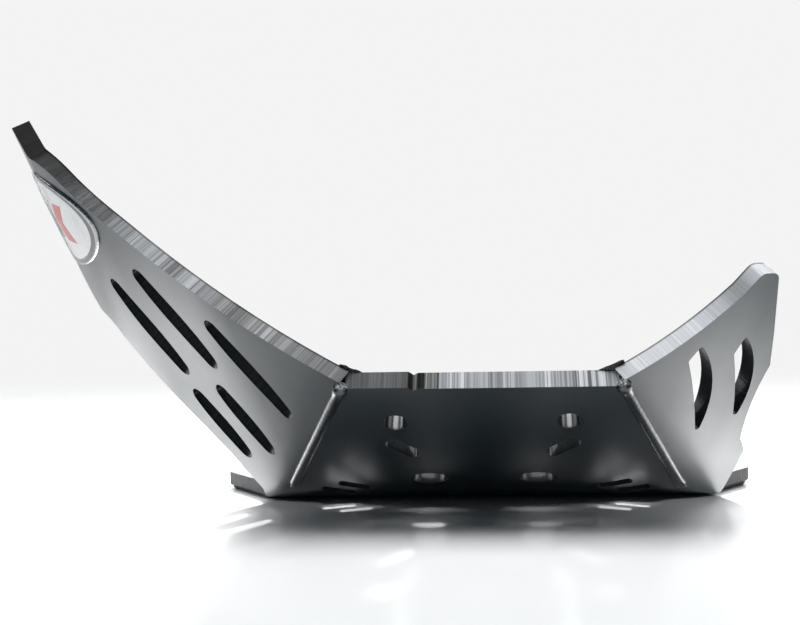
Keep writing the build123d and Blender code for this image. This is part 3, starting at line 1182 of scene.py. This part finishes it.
def makeBadge():
    materials = [makePrintMaterial(name, *look) for name, look in badgeFinish.items()]
    bm = bmesh.new()
    spokes, rings = badgeShape["spokes"], badgeShape["rings"]
    rim, border = badgeShape["rimFrom"], badgeShape["borderFrom"]
    around = [(cos(2 * pi * k / spokes), sin(2 * pi * k / spokes)) for k in range(spokes)]

    def ring(rho, lift):
        return [bm.verts.new(badgePlace(rho * c, rho * s, lift)) for c, s in around]

    steps = [(k + 1) / rings for k in range(rings)]
    steps = sorted(set(steps + [rim, border, badgeShape["rimEnd"]]))
    centre = bm.verts.new(badgePlace(0, 0, badgeLift(0)))
    loops = [ring(rho, badgeLift(rho)) for rho in steps]
    loops.append(ring(1, badgeShape["under"]))
    levels = steps + [1.01]  # the foot of the rim counts as rim
    for k in range(spokes):
        bm.faces.new((centre, loops[0][k], loops[0][(k + 1) % spokes]))
    for index in range(len(loops) - 1):
        rho = (levels[index] + levels[index + 1]) / 2
        kind = 2 if rho > rim else 1 if rho > border else 0
        for k in range(spokes):
            nxt = (k + 1) % spokes
            inner, outer = loops[index], loops[index + 1]
            quad = (inner[k], outer[k], outer[nxt], inner[nxt])
            bm.faces.new(quad).material_index = kind
    under = bm.verts.new(badgePlace(0, 0, badgeShape["under"]))
    for k in range(spokes):
        bm.faces.new((under, loops[-1][(k + 1) % spokes], loops[-1][k])).material_index = 2
    for bar in badgeBars["bars"]:
        addChevron(bm, *bar)
    bmesh.ops.recalc_face_normals(bm, faces=bm.faces)
    for face in bm.faces:
        face.smooth = face.material_index < 3  # the chevrons stay flat
    mesh = bpy.data.meshes.new("ovalBadge")
    bm.to_mesh(mesh)
    bm.free()
    badge = bpy.data.objects.new("ovalBadge", mesh)
    scene.collection.objects.link(badge)
    for mat in materials:
        mesh.materials.append(mat)
    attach(badge, "root")
    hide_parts("oval_badge")
    print("badge", len(mesh.polygons), "faces")


# studio: glossy white table that fades into a white background

studio = {
    "floorHalf": 3.0,
    "tableColour": (0.84, 0.845, 0.85),
    "tableRoughness": 0.16,
    "tableIor": 1.45,
    "backColour": (0.90, 0.90, 0.90),
    "backFade": (0.10, 0.42),
    "roundFade": (0.34, 0.80),
    "middle": (0.0, -0.15, 0.0),
}


def makeFloor():
    h = studio["floorHalf"]
    mesh = bpy.data.meshes.new("studioTable")
    mesh.from_pydata([(-h, -h, 0), (h, -h, 0), (h, h, 0), (-h, h, 0)], [], [(0, 1, 2, 3)])
    table = bpy.data.objects.new("studioTable", mesh)
    scene.collection.objects.link(table)
    mat, tree, shader = newMaterial("whiteTable")
    link = tree.links.new
    feed(tree, studio["tableColour"], shader.inputs["Base Color"])
    setInputs(shader, Roughness=studio["tableRoughness"], IOR=studio["tableIor"])
    coords = objectPlace(tree)
    middle = addNode(tree, "ShaderNodeVectorMath", operation="DISTANCE")
    middle.inputs[1].default_value = studio["middle"]
    link(coords, middle.inputs[0])
    back, ease = splitNode(tree, coords)["Y"], "SMOOTHSTEP"
    far = spread(tree, back, *studio["backFade"], curve=ease)
    wide = spread(tree, middle.outputs["Value"], *studio["roundFade"], curve=ease)
    away = mathNode(tree, "MAXIMUM", far, wide)
    rays = addNode(tree, "ShaderNodeLightPath")
    shown = mathNode(tree, "MULTIPLY", away, rays.outputs["Is Camera Ray"])
    glow = addNode(tree, "ShaderNodeEmission")
    feed(tree, studio["backColour"], glow.inputs["Color"])
    mix = addNode(tree, "ShaderNodeMixShader")
    link(shown, mix.inputs["Fac"])
    link(shader.outputs["BSDF"], mix.inputs[1])
    link(glow.outputs["Emission"], mix.inputs[2])
    link(mix.outputs["Shader"], tree.nodes["Material Output"].inputs["Surface"])
    mesh.materials.append(mat)


air = {
    "tint": (0.80, 0.93, 1.05),
    "behind": 0.30,
    "inFront": 0.04,
    "mirrorFront": (0.065, 0.095, 0.110),
    "mirrorAbove": (0.050, 0.055, 0.060),
    "turn": (-0.35, 0.45),
    "paperTop": (0.22, 0.42),
}


def makeWorld():
    # pale paper stands behind the table; the room above it and on the camera's side is dim
    world = bpy.data.worlds.new("studioAir")
    world.use_nodes = True
    scene.world = world
    tree = world.node_tree
    link = tree.links.new
    way = splitNode(tree, addNode(tree, "ShaderNodeTexCoord").outputs["Generated"])

    def rising(source, span, low=0.0, high=1.0):
        return spread(tree, source, *span, low, high, "SMOOTHSTEP")

    ambient = tree.nodes["Background"]
    feed(tree, air["tint"], ambient.inputs["Color"])
    strength = rising(way["Y"], air["turn"], air["inFront"], air["behind"])
    link(strength, ambient.inputs["Strength"])
    towards = rising(way["Y"], air["turn"])
    above = rising(way["Z"], air["paperTop"])
    paper = blend(tree, above, studio["backColour"], air["mirrorAbove"])
    shine = addNode(tree, "ShaderNodeBackground")
    room = blend(tree, towards, air["mirrorFront"], paper)
    link(room, shine.inputs["Color"])
    white = addNode(tree, "ShaderNodeBackground")
    feed(tree, studio["backColour"], white.inputs["Color"])
    rays = addNode(tree, "ShaderNodeLightPath").outputs
    bounce = mathNode(tree, "MAXIMUM", rays["Is Glossy Ray"], rays["Is Transmission Ray"])
    first = addNode(tree, "ShaderNodeMixShader")
    link(bounce, first.inputs["Fac"])
    link(ambient.outputs["Background"], first.inputs[1])
    link(shine.outputs["Background"], first.inputs[2])
    second = addNode(tree, "ShaderNodeMixShader")
    link(rays["Is Camera Ray"], second.inputs["Fac"])
    link(first.outputs["Shader"], second.inputs[1])
    link(white.outputs["Background"], second.inputs[2])
    link(second.outputs["Shader"], tree.nodes["World Output"].inputs["Surface"])


# place, aim, watts and size of the panels; place, aim, watts, cone and softness of the spots
panelLamps = {
    "overhead": ((0.0, 0.08, 0.80), (0, -0.10, 0), 14.5, (1.5, 0.5)),
    "topStrip": ((0.0, -0.235, 0.90), (0, -0.235, 0), 1.2, (0.45, 0.15)),
}
spotLamps = {
    "behind": ((-0.06, 1.35, 0.66), (-0.02, -0.20, 0), 38.0, 30.0, 0.05),
    "leftLow": ((-0.45, 1.00, 0.50), (-0.16, -0.17, 0), 30.0, 12.0, 0.08),
    "rightLow": ((0.45, 1.00, 0.50), (0.13, -0.17, 0), 48.0, 10.0, 0.08),
    "leftFill": ((-0.55, -0.45, 0.35), (-0.112, -0.152, 0), 11.0, 6.5, 0.04),
    "rightFill": ((0.55, -0.45, 0.35), (0.102, -0.162, 0), 11.5, 7.0, 0.04),
    "leftPool": ((-0.15, 0.60, 0.90), (-0.13, -0.07, 0), 300.0, 11.6, 0.04),
    "outerPool": ((-0.27, 0.60, 0.90), (-0.24, -0.07, 0), 150.0, 11.6, 0.04),
    "rightPool": ((0.15, 0.60, 0.90), (0.125, -0.07, 0), 330.0, 11.0, 0.04),
}


def addLamp(name, kind, place, aim, watts):
    data = bpy.data.lights.new(name, kind)
    data.energy = watts
    lamp = bpy.data.objects.new(name, data)
    scene.collection.objects.link(lamp)
    lamp.location = place
    lamp.rotation_euler = (Vector(aim) - Vector(place)).to_track_quat("-Z", "Y").to_euler()
    return data


def makeLamps():
    for name, (place, aim, watts, size) in panelLamps.items():
        data = addLamp(name, "AREA", place, aim, watts)
        data.shape = "RECTANGLE"
        data.size, data.size_y = size
    for name, (place, aim, watts, cone, soft) in spotLamps.items():
        data = addLamp(name, "SPOT", place, aim, watts)
        data.spot_size = radians(cone)
        data.spot_blend = 1.0
        data.shadow_soft_size = soft


lens = {
    "focalPixels": 1284.44,
    "pictureWidth": 800,
    "sensor": 36.0,
    "near": 0.01,
    "place": (0.00715, -0.69835, 0.11091),
    "yaw": 4.37,
    "pitch": -3.02,
    "roll": 1.28,
}


def makeCamera():
    data = bpy.data.cameras.new("photoCamera")
    data.sensor_fit = "HORIZONTAL"
    data.sensor_width = lens["sensor"]
    data.lens = lens["focalPixels"] / lens["pictureWidth"] * lens["sensor"]
    data.clip_start = lens["near"]
    camera = bpy.data.objects.new("photoCamera", data)
    scene.collection.objects.link(camera)
    turn = (
        Matrix.Rotation(radians(lens["yaw"]), 3, "Z")
        @ Matrix.Rotation(radians(lens["pitch"]), 3, "X")
        @ Matrix.Rotation(radians(lens["roll"]), 3, "Y")
        @ Matrix.Rotation(radians(90), 3, "X")
    )
    camera.matrix_world = Matrix.Translation(lens["place"]) @ turn.to_4x4()
    scene.camera = camera


makeCamera()
makeFloor()
makeWorld()
makeLamps()
print("studio ready")
makeSheetSkin([makeSheetMaterial(), makeEdgeMaterial(), makeWallMaterial()])
makeWelds()
makeBadge()
